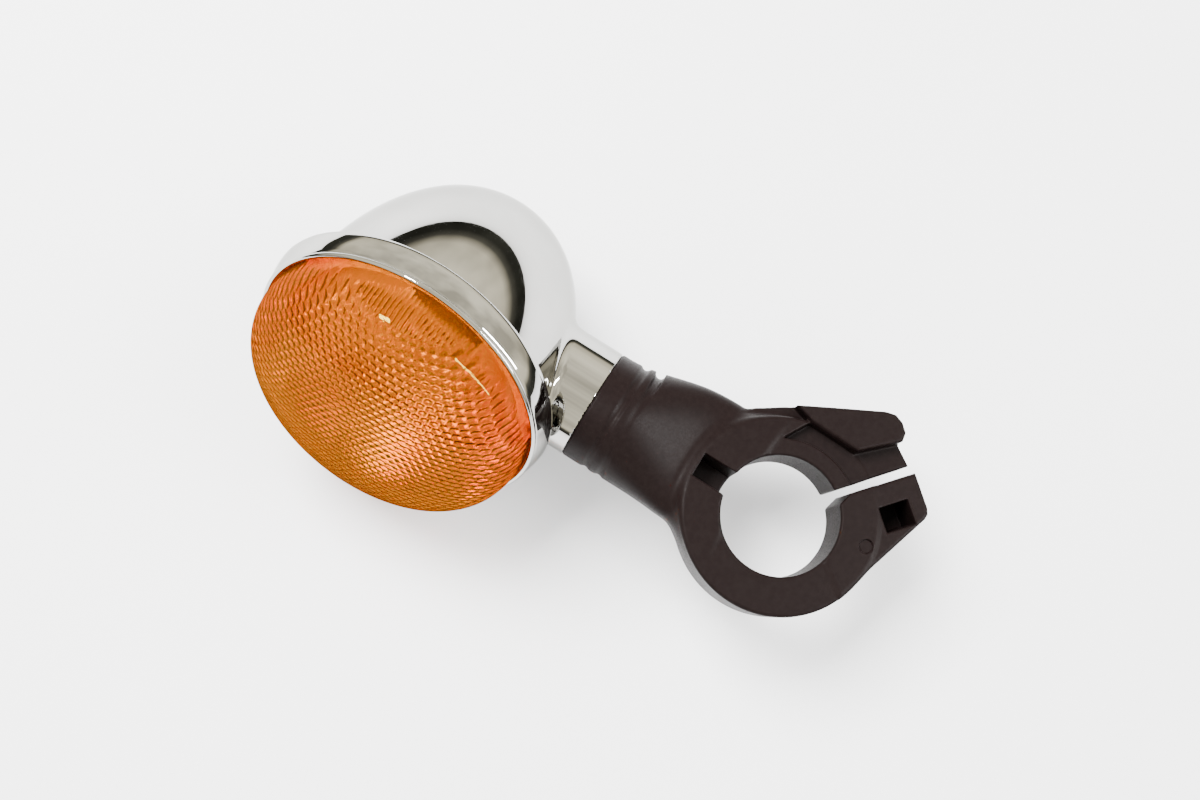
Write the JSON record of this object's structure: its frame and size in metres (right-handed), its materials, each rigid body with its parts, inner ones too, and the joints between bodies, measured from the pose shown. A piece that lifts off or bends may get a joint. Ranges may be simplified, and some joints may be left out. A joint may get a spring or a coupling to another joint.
{
  "type": "turn signal indicator",
  "caption": "Chrome bullet turn signal with a domed amber lens, on a black moulded arm that ends in a split clamp ring for a motorcycle fork tube.",
  "frame": {"origin": "centre of the clamp bore, half way along the ring", "axes": "+Z along the clamp bore, on a raked front fork towards the tube's lower end; +X from the lamp head to the clamp; the lens faces -Y, tilted 28 degrees towards +Z, so that it is level on a fork raked 28 degrees"},
  "size_m": [0.185, 0.0949, 0.0877],
  "materials": {
    "amber_lens": "clear amber acrylic, moulded optics inside",
    "chrome_plate": "bright chrome plating",
    "black_polymer": "satin black moulded polymer",
    "seal_rubber": "soft black rubber",
    "reflector_film": "vacuum aluminised plastic",
    "clear_glass": "clear",
    "plated_steel": "zinc plated, bright",
    "spring_steel": "bright drawn wire",
    "nickel_brass": "nickel plated brass",
    "brass": "bare brass",
    "tungsten": "drawn wire",
    "fibre_board": "brown bonded paper",
    "black_glass": "black vitreous insulator",
    "green_pvc": "green wire cover",
    "black_pvc": "black wire cover"
  },
  "bodies": {
    "root": {"lens": "amber_lens", "lens_gasket": "seal_rubber", "rim_bezel": "chrome_plate", "housing_bowl": "chrome_plate", "reflector": "reflector_film", "contact_spring": "spring_steel", "socket_shell": "plated_steel", "base_insulator": "fibre_board", "live_terminal": "brass", "socket_damper": "seal_rubber", "socket_bracket": "plated_steel", "bracket_screws": "plated_steel", "earth_tag": "brass", "live_lead": "green_pvc", "earth_lead": "black_pvc", "stay_tube": "plated_steel", "stay_nut": "plated_steel", "stay_washer": "plated_steel", "clamp_arm": "black_polymer"},
    "contact": {"contact_disc": "fibre_board", "contact_plunger": "brass"},
    "bulb": {"bulb_glass": "clear_glass", "bulb_stem": "clear_glass", "bulb_filament": "tungsten", "bulb_cap": "nickel_brass", "bulb_insulator": "black_glass", "bulb_contact": "plated_steel"},
    "screw_left": {"rim_screw_left": "plated_steel"},
    "screw_right": {"rim_screw_right": "plated_steel"}
  },
  "joints": [
    {"name": "bulb_push", "type": "slide", "parent": "root", "child": "contact", "axis": [0, 0.8829, -0.4695], "range_m": [0, 0.0025], "stiffness_N_per_m": 1500, "springref_m": -0.004, "deforming": ["contact_spring"]},
    {"name": "bulb_turn", "type": "hinge", "parent": "contact", "child": "bulb", "pos_m": [-0.107, 0, 0], "axis": [0, -0.8829, 0.4695], "range_deg": [0, 24]},
    {"name": "rim_screw_left_turn", "type": "hinge", "parent": "root", "child": "screw_left", "pos_m": [-0.13829, -0.03318, -0.01426], "axis": [-0.7431, -0.3141, -0.5908], "continuous": true},
    {"name": "rim_screw_right_turn", "type": "hinge", "parent": "root", "child": "screw_right", "pos_m": [-0.07571, -0.03318, -0.01426], "axis": [0.7431, -0.3141, -0.5908], "continuous": true}
  ]
}
